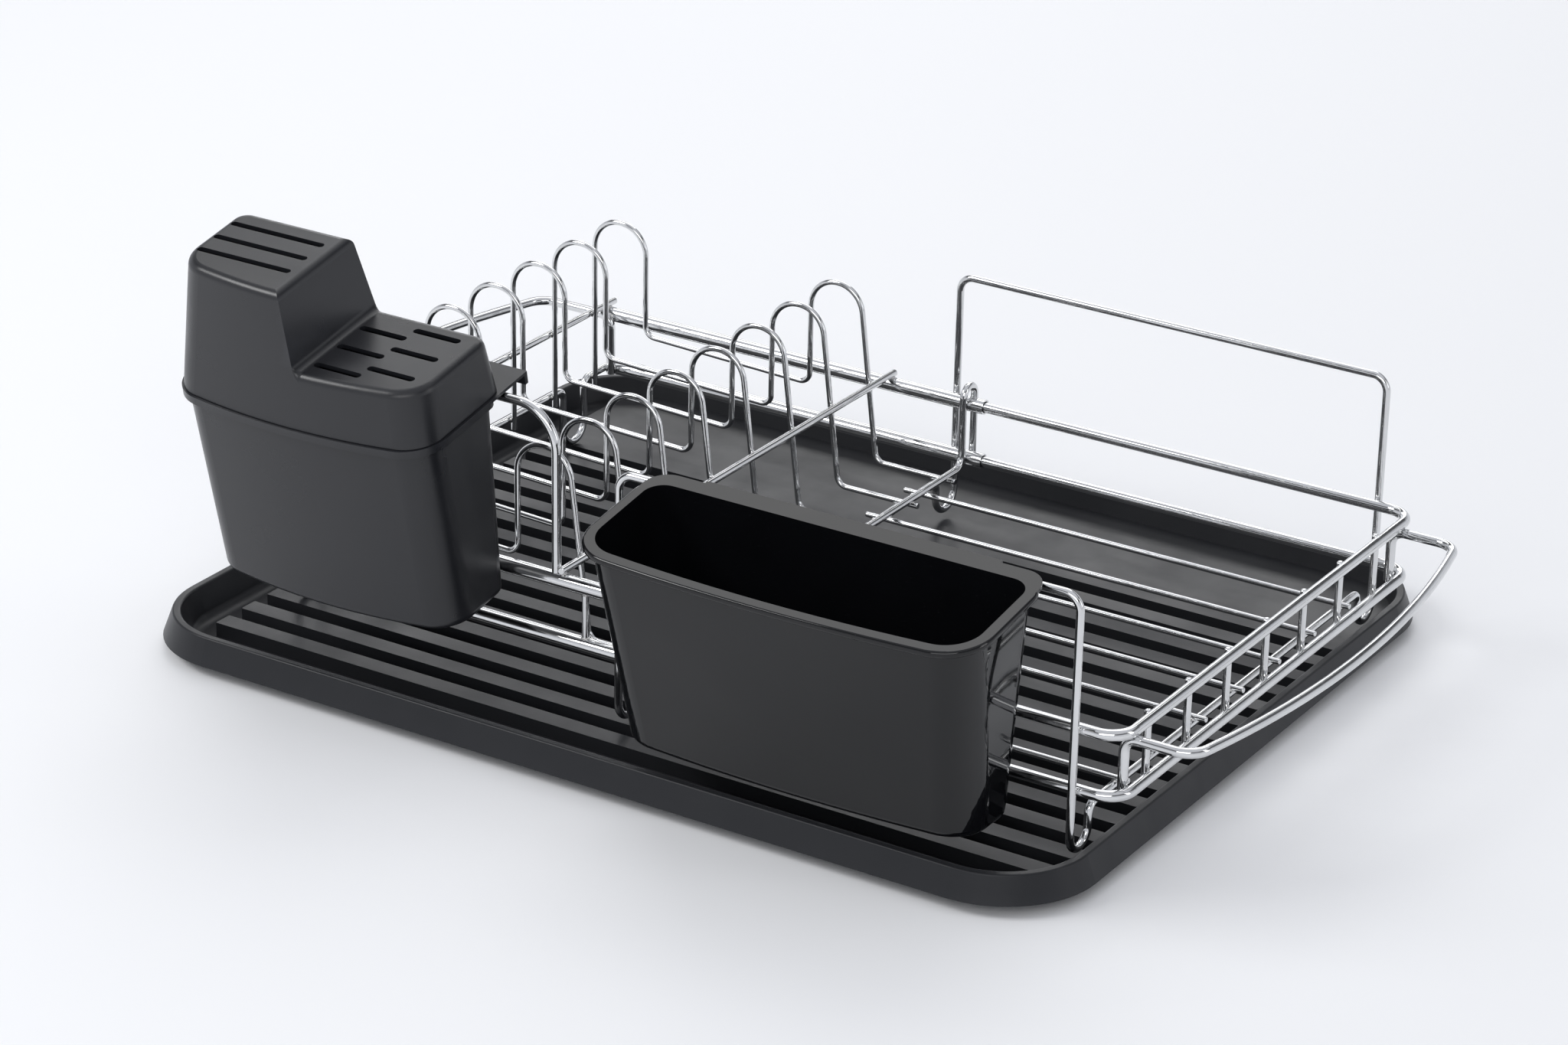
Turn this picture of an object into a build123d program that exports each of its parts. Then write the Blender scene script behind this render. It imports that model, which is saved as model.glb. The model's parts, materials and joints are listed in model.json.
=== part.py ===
from build123d import *
import math
import os

# Expandable wire dish rack standing in a ribbed drip tray, with a knife block and a cutlery
# caddy hung on its front.  Millimetres, +Z up, origin at the centre of the tray's underside.
# +X is the direction in which the right half pulls out, and -Y faces the user.

# ---- wire and tube -------------------------------------------------------------------------
tube_od = 8.0           # tubes of the left half, in which the rails slide
tube_bore = 6.4
rail_d = 5.6            # solid rails of the right half
handle_d = 5.0
hook_loop_d = 4.6       # loop that carries the knife block
bar_d = 4.0             # cross bars, hoop, feet, fence and caddy loop
post_d = 3.8            # short posts at the right end
strut_d = 3.4           # strut between the two front tubes
plate_d = 3.0           # plate wires
floor_d = 3.0           # floor rods of the right half
weld = 0.2              # how far one wire sinks into another at a weld
wire_tip_fillet = 0.6

# ---- drip tray -----------------------------------------------------------------------------
tray_length = 526.0
tray_width = 424.0
tray_height = 20.0
tray_corner = 50.0
tray_wall = 2.4
rim_flat = 4.0          # level part of the rim
skirt_flare = 5.0       # how far the skirt leans out from the rim to its hem
skirt_height = 13.5
pan_draft = 16.0        # lean of the pan's walls, in degrees
pan_fillet = 6.0
rim_fillet = 1.2
rib_height = 7.4
rib_pitch = 20.7
rib_flat = 10.5         # level top of a rib, before it slopes down to the next one
rib_count = 14          # behind them a level shelf runs to the back wall
rib_toe = 0.5           # flat floor between one rib's slope and the next rib
rib_front_margin = 24.7   # floor left free between the front wall and the first rib
drain_channel = 14.8    # floor left free along the left wall

# ---- levels and places of the rack ---------------------------------------------------------
rail_y = 152.5          # centre line of tubes and rails, from the middle
rail_gap = 30.7         # between the lower and the upper pair
foot_drop = 33.4        # lower pair down to the feet
foot_gap = 0.3          # feet clear of the tray's ribs
left_bar_x = -217.6
tube_right_x = 21.0
rail_end_x = 267.5      # centre line of the rails' end run
rail_bend = 13.0
rail_start_x = -140.0   # free ends of the rails, inside the tubes
bar_overhang = 5.5      # cross bar tips past the tubes' centre line
middle_bar_x = -36.2
middle_bar_overhang = 2.5
strut_x = -23.5

# feet of the left half
left_foot_inset = 34.5  # middle of each foot, inside the tubes' centre line
foot_width = 20.0
foot_bend = 5.0

# hoop that ties the right ends of the four tubes
hoop_x = 11.0
hoop_rise = 9.8         # top of the hoop's bends above the upper tubes' centre line
hoop_bend = 7.0
hoop_tail = 1.5         # hoop's outer legs end this far below the lower tubes' centre line

# ---- plate wires ---------------------------------------------------------------------------
plate_count = 8
plate_margin = 18.45    # first plate wire inside the tubes' centre line
plate_foot = 5.0        # left leg ends below the lower tubes' centre line
arch_left_width = 33.2
arch_left_height = 93.0   # heights are above the lower tubes' centre line
arch_right_height = 88.6
shelf_left_height = 31.6  # raised run between the two arches
shelf_right_height = 28.2
arch_right_x = -76.1
long_leg_slope = 0.13   # outward run of the right arch's long leg, per unit of drop
plate_bend = 6.0
plate_floor_drop = 7.0  # floor run below the lower tubes' centre line
plate_tip = 2.0         # wire tips past the hoop's bar

# ---- handles -------------------------------------------------------------------------------
handle_bend = 7.0
handle_corner = 12.0
handle_tail = 1.5       # posts end below the lower tubes' centre line
left_handle_x = -212.1
left_shoulder_x = -261.5
left_bow_x = -281.5
right_shoulder_x = 300.0
right_bow_x = 313.7
shoulder_inset = 13.0   # bow starts this far inside the legs

# ---- loop for the knife block --------------------------------------------------------------
hook_loop_left_x = -200.0
hook_loop_right_x = -40.3
hook_loop_height = 118.0
hook_loop_bend = 22.0

# ---- right half ----------------------------------------------------------------------------
side_gap = 0.4          # fence and caddy loop clear of the tubes beside them
side_left_x = 0.0
side_right_x = 246.0
side_height = 98.0      # top of the fence and the caddy loop
side_bend = 8.0
side_foot_rise = 2.2     # feet of the right half above the left half's, clear of the ribs
side_foot_inset = 12.5  # inner leg of each foot, inside the tubes' centre line
cross_rod_drop = 12.8   # below the lower rail's centre line
floor_count = 7
floor_margin = 14.5     # first floor rod inside the cross rods' ends
floor_left_tip = 5.0    # rod tips past the two cross rods
floor_right_tip = 7.5
end_post_count = 7
end_post_margin = 33.7  # first post inside the tubes' centre line
end_post_foot = 3.0     # below the lower rail's centre line
end_post_rise = 0.8     # above the upper rail's centre line

# ---- knife block ---------------------------------------------------------------------------
block_x = -146.0
block_lean = 11.0       # rim, decks and bottom slope down to the front, in degrees
block_gap = 0.5         # back wall clear of the tubes
block_wall = 2.2
rim_under_z = 163.0     # underside of the rim at the back wall
rim_thick = 4.0
rim_width = 153.0
rim_depth = 68.5
rim_step = 3.0          # rim stands out from the wall below it
block_bow = 8.0         # bulge of the front
block_corner = 19.0
block_back_corner = 8.0
body_height = 97.0      # along the back wall, below the rim
body_bottom_width = 145.0
body_bottom_depth = 51.5
body_bottom_shift = 8.0   # bottom sits to the right of the rim
body_bottom_fillet = 4.0
ledge_depth = 23.0      # ledge behind the rim that hooks over the loop
ledge_thick = 1.6
ledge_lip = 5.0
hood_gap = 0.35         # lid clear of the rim and of the mouth
hood_inset = 1.4        # lid inside the rim's edge
hood_overhang = 5.5     # lid's back behind the mouth's back wall
hood_wall = 2.2
hood_height = 66.0
deck_height = 28.0
hood_side_lean = 7.5    # the lid narrows by this much on each side up to its top
hood_front_lean = 11.0
hood_back_lean = 2.5
hood_round = 4.5
valley_x = -140.5
tower_x = -148.0        # right edge of the tower's top
plug_depth = 4.0        # ring under the lid that drops into the mouth
plug_wall = 1.8
knife_slot_length = 55.5
knife_slot_width = 3.6
knife_slot_x = -182.8
knife_slot_depths = (9.8, 23.2, 36.2)       # from the mouth's back wall, along the slope
short_slot_length = 27.0
short_slot_width = 4.0
short_slot_left_x = -123.0
short_slot_left_depths = (14.2, 32.3, 50.7)
short_slot_right_x = -97.5
short_slot_right_depths = (5.8, 24.1, 42.9)

# ---- cutlery caddy -------------------------------------------------------------------------
caddy_x = 124.5
caddy_lean = 9.0
caddy_gap = 1.1         # back wall clear of the loop that it hangs on
caddy_wall = 2.0
caddy_rim_z = 147.2     # rim top at the back wall
caddy_rim_width = 214.0
caddy_rim_depth = 74.0
caddy_rim_thick = 3.6
caddy_rim_step = 4.0
caddy_rim_round = 1.5
caddy_bow = 5.0
caddy_corner = 20.0
caddy_back_corner = 12.0
caddy_bottom_z = 30.5
caddy_bottom_width = 190.0
caddy_bottom_depth = 46.0
caddy_bottom_fillet = 5.0
flange_depth = 7.0      # flange behind the back wall that rests on the loop
hook_thick = 1.6
hook_width = 158.0      # lip that drops behind the loop
hook_drop = 6.0
hook_gap = 0.3
drain_d = 6.0
drain_columns = 6
drain_rows = 2
drain_pitch_x = 26.0
drain_pitch_y = 20.0

# ---- levels worked out from the sizes above -------------------------------------------------
tube_r = tube_od / 2
rail_r = rail_d / 2
bar_r = bar_d / 2
plate_r = plate_d / 2
floor_r = floor_d / 2
handle_r = handle_d / 2
post_r = post_d / 2

left_foot_y = rail_y - left_foot_inset
side_foot_y = rail_y - side_foot_inset
cross_rod_y = side_foot_y - 2 * foot_bend
right_post_y = rail_y - rail_bend
plate_pitch = 2 * (rail_y - plate_margin) / (plate_count - 1)
floor_pitch = 2 * (cross_rod_y - floor_margin) / (floor_count - 1)
end_post_pitch = 2 * (rail_y - end_post_margin) / (end_post_count - 1)

foot_z = tray_wall + rib_height + foot_gap + bar_r
side_foot_z = foot_z + side_foot_rise
lower_z = foot_z + foot_drop
upper_z = lower_z + rail_gap
cross_bar_z = upper_z + tube_r + bar_r - weld
side_z = lower_z + side_height
hook_loop_z = lower_z + hook_loop_height
round_share = 0.98      # a U bend's radius, as a share of half its width


def save(piece, name):
    """Name a finished piece and write it."""
    piece.label = name
    export_step(piece, f"parts/{name}.step")


def bent_wire(points, radii, diameter):
    """A round wire that follows straight runs joined by bends."""
    with BuildPart() as wire:
        with BuildLine() as path:
            FilletPolyline(*points, radius=radii)
        with BuildSketch(Plane(origin=path.line @ 0, z_dir=path.line % 0)):
            Circle(diameter / 2)
        sweep()
    return wire.part


def straight_wire(start, end, diameter):
    """A straight wire with softened ends."""
    run = Vector(*end) - Vector(*start)
    with BuildPart() as wire:
        with BuildSketch(Plane(origin=start, z_dir=run.normalized())):
            Circle(diameter / 2)
        extrude(amount=run.length)
        fillet(wire.edges().filter_by(GeomType.CIRCLE), wire_tip_fillet)
    return wire.part


def with_mirror(points):
    """The points, then their mirror images across the XZ plane in reverse order."""
    return points + [(x, -y, z) for x, y, z in reversed(points)]


def spread(count, pitch):
    """Places of a centred row, from back to front."""
    return [((count - 1) / 2 - index) * pitch for index in range(count)]


os.makedirs("parts", exist_ok=True)

# ---- drip tray -----------------------------------------------------------------------------
hem_z = tray_height - skirt_height
skirt_angle = math.degrees(math.atan2(skirt_flare, skirt_height))
rim_band = rim_flat + skirt_flare
pan_lean = tray_height * math.tan(math.radians(pan_draft))
pan_length = tray_length - 2 * (rim_band + pan_lean)
pan_width = tray_width - 2 * (rim_band + pan_lean)
pan_corner = tray_corner - rim_band - pan_lean
floor_lean = tray_wall * math.tan(math.radians(pan_draft))
first_rib_y = -pan_width / 2 - floor_lean + rib_front_margin
shelf_y = first_rib_y + rib_count * rib_pitch
ribs_left_x = -pan_length / 2 - floor_lean + drain_channel
rib_root = tray_wall / 2

with BuildPart() as tray_ribs:
    with BuildSketch(Plane.YZ.offset(ribs_left_x)):
        for index in range(rib_count):
            with Locations((first_rib_y + index * rib_pitch, tray_wall)):
                Polygon(
                    (0, -rib_root),
                    (0, rib_height),
                    (rib_flat, rib_height),
                    (rib_pitch - rib_toe, 0),
                    (rib_pitch - rib_toe, -rib_root),
                    align=None,
                )
        with Locations((shelf_y, tray_wall - rib_root)):
            Rectangle(
                tray_width / 2 - shelf_y, rib_root + rib_height, align=(Align.MIN, Align.MIN)
            )
    extrude(amount=tray_length)
    # the ribs run out inside the pan's walls
    with BuildSketch():
        RectangleRounded(pan_length + tray_wall, pan_width + tray_wall, pan_corner)
    extrude(amount=tray_height - rim_fillet, taper=-pan_draft, mode=Mode.INTERSECT)

with BuildPart() as drip_tray:
    with BuildSketch(Plane.XY.offset(hem_z)):
        RectangleRounded(tray_length, tray_width, tray_corner)
    extrude(amount=skirt_height, taper=skirt_angle)
    with BuildSketch(Plane.XY.offset(hem_z)):
        RectangleRounded(
            tray_length - 2 * tray_wall, tray_width - 2 * tray_wall, tray_corner - tray_wall
        )
    extrude(amount=skirt_height - tray_wall, taper=skirt_angle, mode=Mode.SUBTRACT)
    with BuildSketch():
        RectangleRounded(
            pan_length + 2 * tray_wall, pan_width + 2 * tray_wall, pan_corner + tray_wall
        )
    extrude(amount=tray_height - rim_fillet, taper=-pan_draft)
    with BuildSketch(Plane.XY.offset(tray_wall)):
        RectangleRounded(
            pan_length + 2 * floor_lean, pan_width + 2 * floor_lean, pan_corner + floor_lean
        )
    extrude(amount=tray_height - tray_wall, taper=-pan_draft, mode=Mode.SUBTRACT)
    fillet(drip_tray.edges().group_by(Axis.Z)[-1], rim_fillet)
    pan_floor = drip_tray.faces().filter_by(Plane.XY).filter_by_position(
        Axis.Z, tray_wall, tray_wall
    )
    fillet(pan_floor.edges(), pan_fillet)
    add(tray_ribs.part)
save(drip_tray.part, "drip_tray")


# ---- left half: tubes and cross bars --------------------------------------------------------
def frame_tube(left_x, y, z):
    """One tube, open at both ends."""
    with BuildPart() as tube:
        with BuildSketch(Plane.YZ.offset(left_x)):
            with Locations((y, z)):
                Circle(tube_od / 2)
                Circle(tube_bore / 2, mode=Mode.SUBTRACT)
        extrude(amount=tube_right_x - left_x)
    return tube.part


upper_tube_left = left_bar_x - bar_r
lower_tube_left = left_bar_x + bar_r - weld
for end_name, tube_y in (("back", rail_y), ("front", -rail_y)):
    save(frame_tube(upper_tube_left, tube_y, upper_z), f"upper_tube_{end_name}")
    save(frame_tube(lower_tube_left, tube_y, lower_z), f"lower_tube_{end_name}")

bar_tip_y = rail_y + bar_overhang
left_top_bar = straight_wire(
    (left_bar_x, -bar_tip_y, cross_bar_z), (left_bar_x, bar_tip_y, cross_bar_z), bar_d
)
save(left_top_bar, "left_top_bar")

middle_tip_y = rail_y + middle_bar_overhang
middle_bar = straight_wire(
    (middle_bar_x, -middle_tip_y, cross_bar_z), (middle_bar_x, middle_tip_y, cross_bar_z), bar_d
)
save(middle_bar, "middle_bar")

foot_outer_y = left_foot_y + foot_width / 2
foot_inner_y = left_foot_y - foot_width / 2
foot_round = foot_width / 2 * round_share
left_foot_rod = bent_wire(
    with_mirror(
        [
            (left_bar_x, bar_tip_y, lower_z),
            (left_bar_x, foot_outer_y, lower_z),
            (left_bar_x, foot_outer_y, foot_z),
            (left_bar_x, foot_inner_y, foot_z),
            (left_bar_x, foot_inner_y, lower_z),
        ]
    ),
    [foot_bend, foot_round, foot_round, foot_bend] * 2,
    bar_d,
)
save(left_foot_rod, "left_foot_rod")

plate_floor_z = lower_z - plate_floor_drop
hoop_bar_z = plate_floor_z + plate_r + bar_r - weld
hoop_inner_y = rail_y - tube_r - bar_r + weld
hoop_outer_y = rail_y + tube_r + bar_r - weld
hoop_top_z = upper_z + hoop_rise
hoop_round = (hoop_outer_y - hoop_inner_y) / 2 * round_share
end_hoop = bent_wire(
    with_mirror(
        [
            (hoop_x, hoop_outer_y, lower_z - hoop_tail),
            (hoop_x, hoop_outer_y, hoop_top_z),
            (hoop_x, hoop_inner_y, hoop_top_z),
            (hoop_x, hoop_inner_y, hoop_bar_z),
        ]
    ),
    [hoop_round, hoop_round, hoop_bend, hoop_bend, hoop_round, hoop_round],
    bar_d,
)
save(end_hoop, "end_hoop")

with BuildPart() as tube_strut:
    with BuildSketch(Plane.XY.offset(lower_z + tube_r - weld)):
        with Locations((strut_x, -rail_y)):
            Circle(strut_d / 2)
    extrude(amount=rail_gap - tube_od + 2 * weld)
save(tube_strut.part, "tube_strut")

# ---- left half: plate wires -----------------------------------------------------------------
plate_left_x = left_bar_x + bar_r + plate_r - weld
shelf_left_x = plate_left_x + arch_left_width
arch_left_z = lower_z + arch_left_height
arch_right_z = lower_z + arch_right_height
leg_at_bar_x = middle_bar_x - bar_r - plate_r + weld
leg_top_x = leg_at_bar_x - (arch_right_z - cross_bar_z) * long_leg_slope
leg_foot_x = leg_at_bar_x + (cross_bar_z - plate_floor_z) * long_leg_slope
arch_left_r = arch_left_width / 2 * round_share
leg_turn = math.pi / 2 - math.atan(long_leg_slope)
arch_right_r = (leg_top_x - arch_right_x) / (1 + math.tan(leg_turn / 2)) * round_share
plate_tip_x = hoop_x + bar_r + plate_tip


def plate_wire(y):
    """Arch, raised run, second arch with a long slanting leg, and a run along the floor."""
    return bent_wire(
        [
            (plate_left_x, y, lower_z - plate_foot),
            (plate_left_x, y, arch_left_z),
            (shelf_left_x, y, arch_left_z),
            (shelf_left_x, y, lower_z + shelf_left_height),
            (arch_right_x, y, lower_z + shelf_right_height),
            (arch_right_x, y, arch_right_z),
            (leg_top_x, y, arch_right_z),
            (leg_foot_x, y, plate_floor_z),
            (plate_tip_x, y, plate_floor_z),
        ],
        [arch_left_r] * 2 + [plate_bend] * 2 + [arch_right_r] * 2 + [plate_bend],
        plate_d,
    )


for index, plate_y in enumerate(spread(plate_count, plate_pitch)):
    save(plate_wire(plate_y), f"plate_wire_{index + 1}")


# ---- handles --------------------------------------------------------------------------------
def bow_handle(post_x, post_y, leg_z, shoulder_x, bow_x):
    """Two posts bend out into level legs, and a shallow bow joins the legs."""
    shoulder_y = post_y - shoulder_inset
    sagitta = bow_x - shoulder_x
    slope = 2 * sagitta * shoulder_y / (shoulder_y**2 - sagitta**2)
    corner_x = shoulder_x - slope * shoulder_inset
    tail_z = lower_z - handle_tail
    side = [
        (post_x, post_y, tail_z),
        (post_x, post_y, leg_z),
        (corner_x, post_y, leg_z),
        (shoulder_x, shoulder_y, leg_z),
    ]
    far_side = with_mirror(side)[len(side):]
    with BuildPart() as handle:
        with BuildLine() as path:
            FilletPolyline(*side, radius=[handle_bend, handle_corner])
            ThreePointArc(side[-1], (bow_x, 0, leg_z), far_side[0])
            FilletPolyline(*far_side, radius=[handle_corner, handle_bend])
        with BuildSketch(Plane.XY.offset(tail_z)):
            with Locations((post_x, post_y)):
                Circle(handle_d / 2)
        sweep()
    return handle.part


left_handle = bow_handle(
    left_handle_x,
    rail_y - tube_r - handle_r + weld,
    cross_bar_z - bar_r - handle_r + weld,
    left_shoulder_x,
    left_bow_x,
)
save(left_handle, "left_handle")

right_handle = bow_handle(
    rail_end_x - rail_r - handle_r + weld,
    right_post_y,
    upper_z - rail_r - handle_r + weld,
    right_shoulder_x,
    right_bow_x,
)
save(right_handle, "right_handle")

# ---- loop that carries the knife block ------------------------------------------------------
hook_loop_foot_z = upper_z + tube_r - weld
hook_loop = bent_wire(
    [
        (hook_loop_right_x, -rail_y, hook_loop_foot_z),
        (hook_loop_right_x, -rail_y, hook_loop_z),
        (hook_loop_left_x, -rail_y, hook_loop_z),
        (hook_loop_left_x, -rail_y, hook_loop_foot_z),
    ],
    hook_loop_bend,
    hook_loop_d,
)
save(hook_loop, "hook_loop")


# ---- right half: rails, posts and floor -----------------------------------------------------
def rail_loop(z):
    """A rail bent round the right end, with its two sides running into the tubes."""
    return bent_wire(
        with_mirror([(rail_start_x, rail_y, z), (rail_end_x, rail_y, z)]), rail_bend, rail_d
    )


save(rail_loop(upper_z), "upper_rail")
save(rail_loop(lower_z), "lower_rail")

end_post_x = rail_end_x - rail_r - post_r + weld
for index, post_y in enumerate(spread(end_post_count, end_post_pitch)):
    with BuildPart() as end_post:
        with BuildSketch(Plane.XY.offset(lower_z - end_post_foot)):
            with Locations((end_post_x, post_y)):
                Circle(post_d / 2)
        extrude(amount=rail_gap + end_post_foot + end_post_rise)
        fillet(end_post.edges().filter_by(GeomType.CIRCLE).sort_by(Axis.Z)[-1], post_r * 0.8)
    save(end_post.part, f"end_post_{index + 1}")

cross_rod_z = lower_z - cross_rod_drop
floor_z = cross_rod_z + bar_r + floor_r - weld
for index, rod_y in enumerate(spread(floor_count, floor_pitch)):
    floor_rod = straight_wire(
        (side_left_x - floor_left_tip, rod_y, floor_z),
        (side_right_x + floor_right_tip, rod_y, floor_z),
        floor_d,
    )
    save(floor_rod, f"floor_rod_{index + 1}")

# ---- right half: back fence and front caddy loop, each standing on two U-shaped feet --------
side_left_y = rail_y + tube_r + bar_r + side_gap
side_right_y = rail_y + rail_r + bar_r - weld


def side_loop(side):
    """The back fence (side 1) or the front caddy loop (side -1)."""
    points = [
        (side_left_x, cross_rod_y, cross_rod_z),
        (side_left_x, side_foot_y, cross_rod_z),
        (side_left_x, side_foot_y, side_foot_z),
        (side_left_x, side_left_y, side_foot_z),
        (side_left_x, side_left_y, side_z),
        (side_right_x, side_right_y, side_z),
        (side_right_x, side_right_y, side_foot_z),
        (side_right_x, side_foot_y, side_foot_z),
        (side_right_x, side_foot_y, cross_rod_z),
        (side_right_x, cross_rod_y, cross_rod_z),
    ]
    left_round = (side_left_y - side_foot_y) / 2 * round_share
    right_round = (side_right_y - side_foot_y) / 2 * round_share
    radii = [
        foot_bend,
        left_round,
        left_round,
        side_bend,
        side_bend,
        right_round,
        right_round,
        foot_bend,
    ]
    return bent_wire([(x, side * y, z) for x, y, z in points], radii, bar_d)


save(side_loop(1), "fence_wire")
save(side_loop(-1), "caddy_loop")

for rod_name, rod_x in (("cross_rod_middle", side_left_x), ("cross_rod_right", side_right_x)):
    with BuildPart() as cross_rod:
        with BuildSketch(Plane.XZ.offset(-cross_rod_y)):
            with Locations((rod_x, cross_rod_z)):
                Circle(bar_r)
        extrude(amount=2 * cross_rod_y)
    save(cross_rod.part, rod_name)


# ---- moulded tubs ---------------------------------------------------------------------------
def leaning_plane(x, y, z, angle):
    """A level plane tipped about X so that its front is lower."""
    tip = math.radians(angle)
    return Plane(origin=(x, y, z), x_dir=(1, 0, 0), z_dir=(0, -math.sin(tip), math.cos(tip)))


def bowed_outline(plane, width, depth, bow, front_corner, back_corner, back=0.0, shift=0.0):
    """Straight back and sides, a front that bows out, and rounded corners."""
    left = shift - width / 2
    right = shift + width / 2
    front = back - depth
    with BuildSketch(plane) as outline:
        with BuildLine():
            Polyline((left, front + bow), (left, back), (right, back), (right, front + bow))
            ThreePointArc((right, front + bow), (shift, front), (left, front + bow))
        make_face()
        fillet(outline.vertices().sort_by(Axis.Y)[-2:], back_corner)
        fillet(outline.vertices().sort_by(Axis.Y)[:2], front_corner)
    return outline.sketch


# ---- knife block body -----------------------------------------------------------------------
block_back_y = -(rail_y + tube_r + block_gap)
rim_under = leaning_plane(block_x, block_back_y, rim_under_z, block_lean)
block_bottom = leaning_plane(block_x, block_back_y, rim_under_z - body_height, block_lean)
wall_width = rim_width - 2 * rim_step
wall_depth = rim_depth - rim_step


def block_wall_outline(plane, inset):
    """The wall's outline just below the rim, drawn in by an inset."""
    return bowed_outline(
        plane,
        wall_width - 2 * inset,
        wall_depth - 2 * inset,
        block_bow,
        block_corner - inset,
        block_back_corner - inset,
        back=-inset,
    )


def block_bottom_outline(plane, inset):
    """The bottom's outline, drawn in by an inset."""
    return bowed_outline(
        plane,
        body_bottom_width - 2 * inset,
        body_bottom_depth - 2 * inset,
        block_bow,
        block_corner - inset,
        block_back_corner - inset,
        back=-inset,
        shift=body_bottom_shift,
    )


ledge_under = rim_under.offset(rim_thick - ledge_thick)
lip_under = ledge_under.offset(-ledge_lip)

with BuildPart() as knife_block_body:
    loft([block_bottom_outline(block_bottom, 0), block_wall_outline(rim_under, 0)], ruled=True)
    fillet(
        knife_block_body.faces().filter_by(GeomType.PLANE).sort_by(Axis.Z)[0].edges(),
        body_bottom_fillet,
    )
    rim_outline = bowed_outline(
        rim_under, rim_width, rim_depth, block_bow, block_corner + rim_step, block_back_corner
    )
    extrude(rim_outline, amount=rim_thick)
    # ledge and lip that hook over the loop
    with BuildSketch(ledge_under):
        with Locations((0, (ledge_depth - block_corner) / 2)):
            Rectangle(rim_width, ledge_depth + block_corner)
    extrude(amount=ledge_thick)
    with BuildSketch(lip_under):
        with Locations((0, ledge_depth - block_wall / 2)):
            Rectangle(rim_width, block_wall)
    extrude(amount=ledge_lip + ledge_thick)
    # hollow
    loft(
        [
            block_bottom_outline(block_bottom.offset(block_wall), block_wall),
            block_wall_outline(rim_under, block_wall),
        ],
        ruled=True,
        mode=Mode.SUBTRACT,
    )
    extrude(block_wall_outline(rim_under, block_wall), amount=rim_thick, mode=Mode.SUBTRACT)
save(knife_block_body.part, "knife_block_body")

# ---- knife block lid: a low deck on the right and a tower on the left -----------------------
hood_base = rim_under.offset(rim_thick + hood_gap)
hood_section = Plane(origin=hood_base.origin, x_dir=(1, 0, 0), z_dir=-hood_base.y_dir)
hood_width = rim_width - 2 * hood_inset
hood_depth = rim_depth - hood_inset + hood_overhang
hood_top_width = hood_width - 2 * hood_side_lean
hood_top_depth = hood_depth - hood_front_lean - hood_back_lean
valley_u = valley_x - block_x
tower_u = tower_x - block_x
step_slope = (tower_u - valley_u) / (hood_height - deck_height)
above = 10.0            # cuts run this far past the surface they open


def hood_shape(inset):
    """The lid's stepped shape, drawn in by an inset on every side."""
    base = bowed_outline(
        hood_base.offset(inset),
        hood_width - 2 * inset,
        hood_depth - 2 * inset,
        block_bow,
        block_corner - inset,
        block_back_corner - inset,
        back=hood_overhang - inset,
    )
    top = bowed_outline(
        hood_base.offset(hood_height - inset),
        hood_top_width - 2 * inset,
        hood_top_depth - 2 * inset,
        block_bow,
        block_corner - inset,
        block_back_corner - inset,
        back=hood_overhang - hood_back_lean - inset,
    )
    with BuildPart() as shape:
        loft([base, top], ruled=True)
        with BuildSketch(hood_section):
            Polygon(
                (valley_u - inset, deck_height - inset),
                (hood_width, deck_height - inset),
                (hood_width, hood_height + above),
                (tower_u - inset + step_slope * above, hood_height + above),
                align=None,
            )
        extrude(amount=2 * hood_depth, both=True, mode=Mode.SUBTRACT)
    return shape.part


def faces_up(face):
    """True for a deck: a flat face square to the lid's lean."""
    return face.normal_at().dot(hood_base.z_dir) > 0.999


hood_outer = hood_shape(0)
hood_inner = hood_shape(hood_wall)
with BuildPart() as knife_block_lid:
    add(hood_outer)
    decks = knife_block_lid.faces().filter_by(faces_up).sort_by(Axis.Z)
    step_edges = decks.edges()
    fillet(step_edges, hood_round)
    add(hood_inner, mode=Mode.SUBTRACT)
    # ring that drops into the mouth
    plug = block_wall_outline(hood_base.offset(-plug_depth), block_wall + hood_gap)
    extrude(plug, amount=plug_depth + hood_wall / 2)
    plug_bore = block_wall_outline(
        hood_base.offset(-plug_depth), block_wall + hood_gap + plug_wall
    )
    extrude(plug_bore, amount=plug_depth + hood_wall, mode=Mode.SUBTRACT)
    # knife slots through the tower, short slots through the deck
    with BuildSketch(hood_base.offset(hood_height - hood_wall - above)):
        for depth in knife_slot_depths:
            with Locations((knife_slot_x - block_x, -depth)):
                SlotOverall(knife_slot_length, knife_slot_width)
    extrude(amount=hood_wall + 2 * above, mode=Mode.SUBTRACT)
    with BuildSketch(hood_base.offset(deck_height - hood_wall - above)):
        for depth in short_slot_left_depths:
            with Locations((short_slot_left_x - block_x, -depth)):
                SlotOverall(short_slot_length, short_slot_width)
        for depth in short_slot_right_depths:
            with Locations((short_slot_right_x - block_x, -depth)):
                SlotOverall(short_slot_length, short_slot_width)
    extrude(amount=hood_wall + 2 * above, mode=Mode.SUBTRACT)
save(knife_block_lid.part, "knife_block_lid")

# ---- cutlery caddy --------------------------------------------------------------------------
caddy_back_y = -(side_left_y + bar_r + caddy_gap)
caddy_rim_top = leaning_plane(caddy_x, caddy_back_y, caddy_rim_z, caddy_lean)
caddy_bottom = Plane(origin=(caddy_x, caddy_back_y, caddy_bottom_z))
band_back = caddy_gap / 2
hook_back_y = -(side_right_y - bar_r - hook_gap)
hook_inner = (hook_back_y - caddy_back_y) / math.cos(math.radians(caddy_lean))


def caddy_wall_outline(plane, inset):
    """The wall's outline at the rim, drawn in by an inset."""
    return bowed_outline(
        plane,
        caddy_rim_width - 2 * (caddy_rim_step + inset),
        caddy_rim_depth - caddy_rim_step - 2 * inset,
        caddy_bow,
        caddy_corner - inset,
        caddy_back_corner - inset,
        back=-inset,
    )


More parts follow.
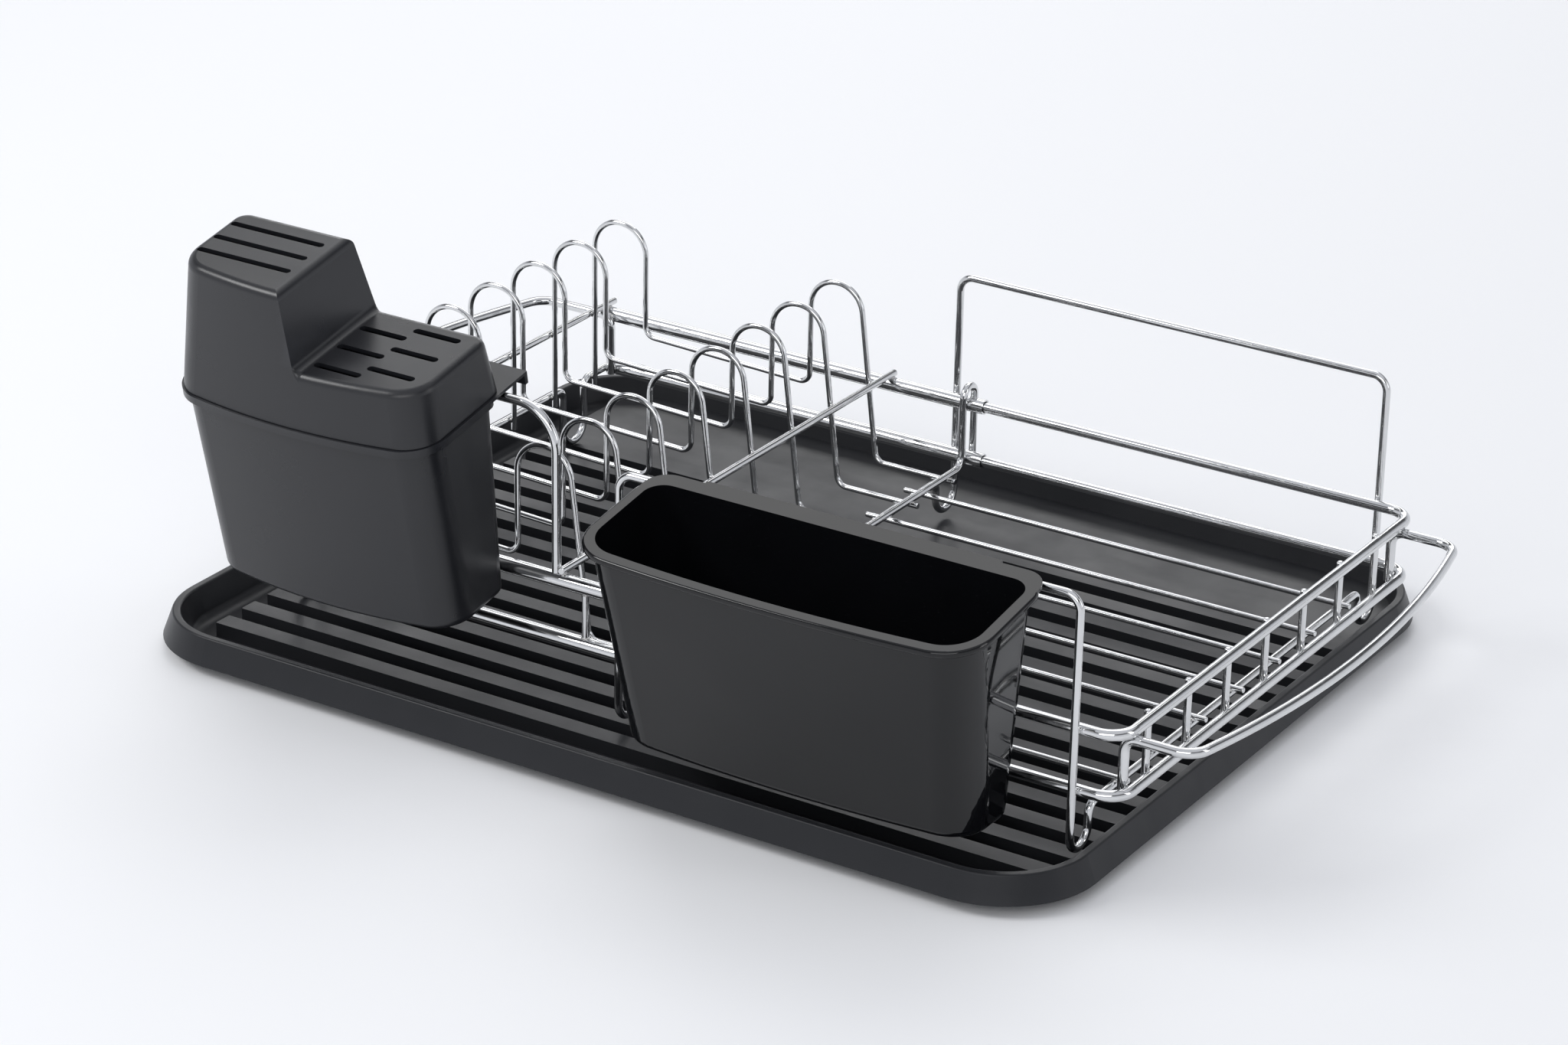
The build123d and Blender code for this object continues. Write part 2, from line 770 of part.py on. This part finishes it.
def caddy_bottom_outline(plane, inset):
    """The bottom's outline, drawn in by an inset."""
    return bowed_outline(
        plane,
        caddy_bottom_width - 2 * inset,
        caddy_bottom_depth - 2 * inset,
        caddy_bow,
        caddy_corner - inset,
        caddy_back_corner - inset,
        back=-inset,
    )


with BuildPart() as cutlery_caddy:
    # rolled band under the rim's edge
    band = bowed_outline(
        caddy_rim_top.offset(-caddy_rim_thick),
        caddy_rim_width,
        caddy_rim_depth + band_back,
        caddy_bow,
        caddy_corner + caddy_rim_step,
        caddy_back_corner,
        back=band_back,
    )
    extrude(band, amount=caddy_rim_thick)
    band_faces = cutlery_caddy.faces().filter_by(GeomType.PLANE).sort_by(SortBy.AREA)[-2:]
    fillet(band_faces.edges(), caddy_rim_round)
    # flange over the loop, and the lip that drops behind it
    with BuildSketch(caddy_rim_top.offset(-hook_thick)) as flange:
        with Locations((0, (flange_depth - caddy_corner) / 2)):
            Rectangle(caddy_rim_width - 2 * caddy_rim_round, flange_depth + caddy_corner)
        fillet(flange.vertices().sort_by(Axis.Y)[-2:], caddy_back_corner)
        with Locations((0, (hook_inner + hook_thick) / 2)):
            Rectangle(hook_width, hook_inner + hook_thick)
    extrude(amount=hook_thick)
    with BuildSketch(caddy_rim_top.offset(-hook_thick - hook_drop)):
        with Locations((0, hook_inner + hook_thick / 2)):
            Rectangle(hook_width, hook_thick)
    extrude(amount=hook_drop + hook_thick / 2)
    loft(
        [
            caddy_bottom_outline(caddy_bottom, 0),
            caddy_wall_outline(caddy_rim_top.offset(-caddy_rim_thick / 2), 0),
        ],
        ruled=True,
    )
    fillet(
        cutlery_caddy.faces().filter_by(Plane.XY).sort_by(Axis.Z)[0].edges(), caddy_bottom_fillet
    )
    # hollow
    loft(
        [
            caddy_bottom_outline(caddy_bottom.offset(caddy_wall), caddy_wall),
            caddy_wall_outline(caddy_rim_top, caddy_wall),
        ],
        ruled=True,
        mode=Mode.SUBTRACT,
    )
    # drain holes
    with BuildSketch(caddy_bottom):
        with Locations((0, -caddy_bottom_depth / 2)):
            with GridLocations(drain_pitch_x, drain_pitch_y, drain_columns, drain_rows):
                Circle(drain_d / 2)
    extrude(amount=2 * caddy_wall, mode=Mode.SUBTRACT)
save(cutlery_caddy.part, "cutlery_caddy")
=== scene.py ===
"""Looks of the dish drying rack: materials, weld beads, floor, light and camera."""
import json
import math

import bmesh
import bpy
from mathutils import Matrix, Vector, noise

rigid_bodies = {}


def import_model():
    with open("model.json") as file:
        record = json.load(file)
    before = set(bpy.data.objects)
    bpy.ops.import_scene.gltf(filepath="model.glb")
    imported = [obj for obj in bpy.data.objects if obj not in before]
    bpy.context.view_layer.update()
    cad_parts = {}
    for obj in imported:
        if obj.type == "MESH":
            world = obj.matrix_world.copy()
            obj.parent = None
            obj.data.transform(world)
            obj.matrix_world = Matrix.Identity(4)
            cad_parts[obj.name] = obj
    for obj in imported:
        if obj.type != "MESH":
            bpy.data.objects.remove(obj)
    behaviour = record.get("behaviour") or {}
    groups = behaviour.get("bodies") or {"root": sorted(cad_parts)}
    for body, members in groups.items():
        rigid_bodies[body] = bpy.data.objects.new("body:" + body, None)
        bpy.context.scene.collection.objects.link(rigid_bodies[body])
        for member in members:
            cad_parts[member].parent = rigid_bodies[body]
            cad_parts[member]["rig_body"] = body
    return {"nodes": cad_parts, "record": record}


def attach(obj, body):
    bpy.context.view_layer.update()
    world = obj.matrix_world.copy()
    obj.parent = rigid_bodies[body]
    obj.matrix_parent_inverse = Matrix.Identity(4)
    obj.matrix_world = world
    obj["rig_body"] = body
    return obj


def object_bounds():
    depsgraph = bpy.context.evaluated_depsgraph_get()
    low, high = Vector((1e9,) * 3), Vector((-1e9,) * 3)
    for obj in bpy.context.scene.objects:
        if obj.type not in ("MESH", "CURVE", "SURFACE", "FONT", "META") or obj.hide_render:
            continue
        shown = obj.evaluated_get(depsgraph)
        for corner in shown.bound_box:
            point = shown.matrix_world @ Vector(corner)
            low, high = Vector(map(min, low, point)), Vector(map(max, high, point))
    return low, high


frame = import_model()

cad_low, cad_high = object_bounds()
scene = bpy.context.scene

# ---- camera ----------------------------------------------------------------------------------
camera_place = Vector((1.1175, -1.8128, 1.0000))    # metres
camera_heading = 0.555315       # radians, turned left from looking along +Y
camera_tilt = 0.415586          # radians below the horizon
camera_roll = 0.0194854         # radians
camera_lens = 106.36            # millimetres
camera_sensor = 36.0            # millimetres
camera_far = 60.0               # metres, past the floor's furthest corner


def make_camera():
    """The camera stands where the object shows its front and its right end."""
    data = bpy.data.cameras.new("camera")
    data.lens = camera_lens
    data.sensor_width = camera_sensor
    data.clip_end = camera_far
    camera = bpy.data.objects.new("camera", data)
    scene.collection.objects.link(camera)
    camera.matrix_world = (
        Matrix.Translation(camera_place)
        @ Matrix.Rotation(camera_heading, 4, "Z")
        @ Matrix.Rotation(math.pi / 2 - camera_tilt, 4, "X")
        @ Matrix.Rotation(camera_roll, 4, "Z")
    )
    scene.camera = camera


# ---- node helpers ----------------------------------------------------------------------------
mix_first, mix_second, mix_result = 6, 7, 2     # the Mix node's sockets that carry colours


class Look:
    """A procedural material, with short calls for the nodes that it is built from."""

    def __init__(self, name):
        self.material = bpy.data.materials.new(name)
        self.material.use_nodes = True
        self.tree = self.material.node_tree
        self.shader = self.tree.nodes["Principled BSDF"]
        self.place = self.node("ShaderNodeTexCoord").outputs["Object"]

    def node(self, kind, **settings):
        made = self.tree.nodes.new(kind)
        for key, value in settings.items():
            setattr(made, key, value)
        return made

    def link(self, output, socket):
        self.tree.links.new(output, socket)

    def feed(self, name, output):
        """Links a node's output to the shader's socket of that name."""
        self.link(output, self.shader.inputs[name])

    def set(self, **sockets):
        """Puts constant values on the shader's own sockets."""
        for key, value in sockets.items():
            self.shader.inputs[key.replace("_", " ")].default_value = value

    def stretched(self, scale):
        """Object coordinates, scaled by a different amount along each axis."""
        mapping = self.node("ShaderNodeMapping")
        mapping.inputs["Scale"].default_value = scale
        self.link(self.place, mapping.inputs["Vector"])
        return mapping.outputs["Vector"]

    def noise(self, scale, detail, rough=0.5, place=None):
        """Noise with about scale features in a metre, in 0 to 1."""
        made = self.node("ShaderNodeTexNoise")
        made.inputs["Scale"].default_value = scale
        made.inputs["Detail"].default_value = detail
        made.inputs["Roughness"].default_value = rough
        self.link(place or self.place, made.inputs["Vector"])
        return made.outputs["Fac"]

    def ranged(self, source, between, to):
        """Carries source from the range between to the range to, and holds it at both ends."""
        made = self.node("ShaderNodeMapRange")
        for key, value in zip(("From Min", "From Max", "To Min", "To Max"), (*between, *to)):
            made.inputs[key].default_value = value
        self.link(source, made.inputs["Value"])
        return made.outputs["Result"]

    def added(self, first, second):
        made = self.node("ShaderNodeMath", operation="ADD")
        self.link(first, made.inputs[0])
        self.link(second, made.inputs[1])
        return made.outputs["Value"]

    def edges(self, between):
        """1 on sharp convex edges, 0 elsewhere."""
        sharpness = self.node("ShaderNodeNewGeometry").outputs["Pointiness"]
        return self.ranged(sharpness, between, (0.0, 1.0))

    def mixed(self, share, first, second):
        """A colour between first and second; each is a colour or another node's output."""
        made = self.node("ShaderNodeMix", data_type="RGBA")
        self.link(share, made.inputs["Factor"])
        for key, value in ((mix_first, first), (mix_second, second)):
            if isinstance(value, tuple):
                made.inputs[key].default_value = (*value, 1.0)
            else:
                self.link(value, made.inputs[key])
        return made.outputs[mix_result]

    def bumps(self, *layers):
        """Stacks bump layers of (height, strength, distance in metres)."""
        normal = None
        for height, strength, distance in layers:
            made = self.node("ShaderNodeBump")
            made.inputs["Strength"].default_value = strength
            made.inputs["Distance"].default_value = distance
            self.link(height, made.inputs["Height"])
            if normal:
                self.link(normal, made.inputs["Normal"])
            normal = made.outputs["Normal"]
        self.feed("Normal", normal)


# ---- materials -------------------------------------------------------------------------------
steel_dark, steel_bright = (0.60, 0.605, 0.61), (0.78, 0.785, 0.79)
weld_dark, weld_bright = (0.50, 0.49, 0.47), (0.72, 0.71, 0.69)
gloss_dark, gloss_pale = (0.0024, 0.0026, 0.0032), (0.0042, 0.0045, 0.0054)
dust_colour = (0.06, 0.062, 0.066)
plastic_index = 1.5             # index of refraction of both plastics
gloss_specular = 0.42
edge_highlight_gain = 1.5                 # how many times paler the painted highlight on a sharp edge is
edge_highlight_range = (0.55, 0.70)        # sharpness of an edge from no painted highlight to the full painted highlight
smear_scale = (14.0, 60.0, 22.0)    # smears in a metre, along each axis


def polished_wire():
    """Polished steel wire: patches, fine grain, slight ripple, and water spots that dull it."""
    look = Look("polished_wire")
    look.set(Metallic=1.0)
    patches = look.noise(scale=38.0, detail=4.0, rough=0.6)
    spots = look.noise(scale=420.0, detail=2.0, rough=0.4)
    grain = look.noise(scale=2600.0, detail=2.0)
    look.feed("Base Color", look.mixed(patches, steel_dark, steel_bright))
    haze = look.ranged(patches, between=(0.3, 0.75), to=(0.05, 0.13))
    dulled = look.ranged(spots, between=(0.58, 0.72), to=(0.0, 0.10))
    look.feed("Roughness", look.added(haze, dulled))
    ripple = look.noise(scale=160.0, detail=2.0)
    look.bumps((ripple, 0.10, 0.0004), (grain, 0.05, 0.00005))
    return look.material


def weld_metal():
    """Weld metal: duller and a little straw-coloured beside the polished wire."""
    look = Look("weld_metal")
    look.set(Metallic=1.0)
    patches = look.noise(scale=900.0, detail=3.0, rough=0.6)
    look.feed("Base Color", look.mixed(patches, weld_dark, weld_bright))
    look.feed("Roughness", look.ranged(patches, between=(0.3, 0.7), to=(0.14, 0.30)))
    lumps = look.noise(scale=1500.0, detail=3.0)
    look.bumps((lumps, 0.35, 0.0002))
    return look.material


def moulded_plastic(name, dark, pale, roughness, specular, grain_scale, grain_strength):
    """Black moulded plastic: fine eroded grain, cloudy gloss, faint smears, and a painted
    highlight on sharp edges.
    """
    look = Look(name)
    look.set(IOR=plastic_index, Specular_IOR_Level=specular)
    clouds = look.noise(scale=26.0, detail=4.0, rough=0.6)
    grain = look.noise(scale=grain_scale, detail=3.0, rough=0.65)
    smears = look.noise(scale=1.0, detail=3.0, rough=0.55, place=look.stretched(smear_scale))
    body = look.mixed(clouds, dark, pale)
    # painted highlight: sharp convex edges are painted paler than the body
    painted_edge_highlight = tuple(edge_highlight_gain * value for value in pale)
    look.feed("Base Color", look.mixed(look.edges(edge_highlight_range), body, painted_edge_highlight))
    cloudy = look.ranged(clouds, between=(0.3, 0.7), to=roughness)
    smeared = look.ranged(smears, between=(0.45, 0.7), to=(0.0, 0.06))
    look.feed("Roughness", look.added(cloudy, smeared))
    look.bumps((clouds, 0.05, 0.0006), (grain, grain_strength, 0.0001))
    return look.material


def glossy_plastic():
    """Black glossy plastic: mirror gloss over slow moulding ripple, with dust and rub marks."""
    look = Look("glossy_plastic")
    look.set(IOR=plastic_index, Specular_IOR_Level=gloss_specular)
    ripple = look.noise(scale=9.0, detail=2.0, rough=0.4)
    clouds = look.noise(scale=30.0, detail=4.0, rough=0.6)
    dust = look.noise(scale=1900.0, detail=2.0, rough=0.6)
    body = look.mixed(clouds, gloss_dark, gloss_pale)
    specks = look.ranged(dust, between=(0.72, 0.80), to=(0.0, 1.0))
    look.feed("Base Color", look.mixed(specks, body, dust_colour))
    rubbed = look.ranged(clouds, between=(0.42, 0.75), to=(0.02, 0.07))
    dusty = look.ranged(dust, between=(0.66, 0.80), to=(0.0, 0.18))
    look.feed("Roughness", look.added(rubbed, dusty))
    look.bumps((ripple, 0.42, 0.006), (clouds, 0.03, 0.0004))
    return look.material


def paint_frame():
    """Gives every CAD node its material."""
    wire = polished_wire()
    tray = moulded_plastic(
        "tray_plastic",
        dark=(0.0130, 0.0137, 0.0160),
        pale=(0.0175, 0.0184, 0.0210),
        roughness=(0.30, 0.42),
        specular=0.27,
        grain_scale=2400.0,
        grain_strength=0.22,
    )
    block = moulded_plastic(
        "block_plastic",
        dark=(0.0095, 0.0101, 0.0124),
        pale=(0.0130, 0.0137, 0.0164),
        roughness=(0.25, 0.34),
        specular=0.50,
        grain_scale=3200.0,
        grain_strength=0.14,
    )
    special = {
        "drip_tray": tray,
        "knife_block_body": block,
        "knife_block_lid": block,
        "cutlery_caddy": glossy_plastic(),
    }
    for name, node in frame["nodes"].items():
        for slot in node.material_slots:
            slot.material = special.get(name, wire)


# ---- weld beads, in metres -------------------------------------------------------------------
widest_weld = 0.004         # half of the longest weld that gets one bead
bead_spread = 0.0008        # how far a bead stands out round its weld
bead_subdivisions = 3
bead_roughness = 0.16       # height of the lumps, as a share of the bead's size
lump_scale = 2.3            # lumps across a bead's half size
lump_offset = 1000.0        # moves along the noise for each metre, so that beads differ


def weld_place(first, second):
    """Middle and half size of the lens where two welded wires sink into each other, or None."""
    probe = bpy.data.objects.new("weld_probe", first.data.copy())
    scene.collection.objects.link(probe)
    shared = probe.modifiers.new("shared", "BOOLEAN")
    shared.operation = "INTERSECT"
    shared.object = second
    shared.solver = "EXACT"
    lens = probe.evaluated_get(bpy.context.evaluated_depsgraph_get()).to_mesh()
    corners = [vertex.co.copy() for vertex in lens.vertices]
    mesh = probe.data
    bpy.data.objects.remove(probe)
    bpy.data.meshes.remove(mesh)
    if not corners:
        return None
    low = Vector([min(corner[axis] for corner in corners) for axis in range(3)])
    high = Vector([max(corner[axis] for corner in corners) for axis in range(3)])
    return (low + high) / 2, (high - low) / 2


def add_bead(shape, middle, half_size):
    """A small lumpy bead of weld metal that fills the corner round a weld."""
    made = bmesh.ops.create_icosphere(shape, subdivisions=bead_subdivisions, radius=1.0)["verts"]
    reach = Vector([side + bead_spread for side in half_size])
    for vertex in made:
        away = vertex.co.normalized()
        lump = 1.0 + bead_roughness * noise.noise(away * lump_scale + middle * lump_offset)
        vertex.co = middle + Vector([part * size for part, size in zip(away, reach)]) * lump
    for vertex in made:
        for face in vertex.link_faces:
            face.smooth = True


def weld_beads(material):
    """One piece for each wire frame, with a bead at each small weld between two of its wires."""
    shapes = {}
    for fit in frame["record"]["behaviour"]["press_fits"]:
        first, second = (frame["nodes"][name] for name in fit)
        place = weld_place(first, second)
        if place is None or max(place[1]) > widest_weld:
            continue
        body = first["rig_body"]
        add_bead(shapes.setdefault(body, bmesh.new()), *place)
    for body, shape in sorted(shapes.items()):
        mesh = bpy.data.meshes.new(body + "_welds")
        shape.to_mesh(mesh)
        shape.free()
        mesh.materials.append(material)
        beads = bpy.data.objects.new(body + "_welds", mesh)
        scene.collection.objects.link(beads)
        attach(beads, body)


# ---- floor and light -------------------------------------------------------------------------
floor_reach = 14.0          # metres from the middle to each side
floor_square = ((-1, -1), (1, -1), (1, 1), (-1, 1))
floor_dark, floor_pale = (0.885, 0.892, 0.908), (0.90, 0.905, 0.915)
floor_roughness = 0.75
sky_levels = (              # (sine of the height above the horizon, brightness)
    (0.00, 0.98),
    (0.22, 0.90),
    (0.40, 0.62),
    (0.52, 0.12),
    (0.62, 0.12),
    (0.75, 0.75),
    (1.00, 0.85),
)
sky_tint = (0.96, 0.98, 1.04)
sky_strength = 0.86
soft_boxes = (              # (name, place in metres, size in metres, power in watts)
    ("key", (-1.5, -1.3, 1.7), (1.1, 0.8), 24.0),
    ("top", (-0.7, 1.25, 1.9), (2.0, 1.2), 11.0),
    ("right", (1.9, 0.3, 0.9), (0.4, 1.2), 3.0),
    ("back", (-1.2, 2.1, 1.05), (1.8, 0.4), 7.0),
    ("front", (0.9, -2.3, 1.5), (2.2, 1.0), 18.0),
)


def make_floor():
    """A pale, seamless floor at the height of the object's lowest point."""
    mesh = bpy.data.meshes.new("studio_floor")
    corners = [(x * floor_reach, y * floor_reach, cad_low.z) for x, y in floor_square]
    mesh.from_pydata(corners, [], [(0, 1, 2, 3)])
    floor = bpy.data.objects.new("studio_floor", mesh)
    scene.collection.objects.link(floor)
    look = Look("studio_floor")
    look.set(Roughness=floor_roughness)
    patches = look.noise(scale=2.0, detail=2.0)
    look.feed("Base Color", look.mixed(patches, floor_dark, floor_pale))
    mesh.materials.append(look.material)


def soft_box(name, place, size, power):
    """An area light at place that faces the middle of the object."""
    data = bpy.data.lights.new(name, "AREA")
    data.shape = "RECTANGLE"
    data.size, data.size_y = size
    data.energy = power
    light = bpy.data.objects.new(name, data)
    scene.collection.objects.link(light)
    light.location = place
    facing = (cad_low + cad_high) / 2 - Vector(place)
    light.rotation_euler = facing.to_track_quat("-Z", "Y").to_euler()


def make_sky():
    """A sky with a dark band between a bright horizon and a bright top."""
    world = bpy.data.worlds.new("studio")
    world.use_nodes = True
    scene.world = world
    tree = world.node_tree
    place = tree.nodes.new("ShaderNodeTexCoord")
    parts = tree.nodes.new("ShaderNodeSeparateXYZ")
    ramp = tree.nodes.new("ShaderNodeValToRGB")
    tree.links.new(place.outputs["Generated"], parts.inputs["Vector"])
    tree.links.new(parts.outputs["Z"], ramp.inputs["Fac"])
    stops = ramp.color_ramp.elements
    while len(stops) < len(sky_levels):
        stops.new(0.5)
    for stop, (height, level) in zip(stops, sky_levels):
        stop.position = height
        stop.color = (*(tint * level for tint in sky_tint), 1.0)
    background = tree.nodes["Background"]
    tree.links.new(ramp.outputs["Color"], background.inputs["Color"])
    background.inputs["Strength"].default_value = sky_strength


make_camera()
paint_frame()
weld_beads(weld_metal())
make_floor()
make_sky()
for box in soft_boxes:
    soft_box(*box)
scene.view_settings.view_transform = "Standard"
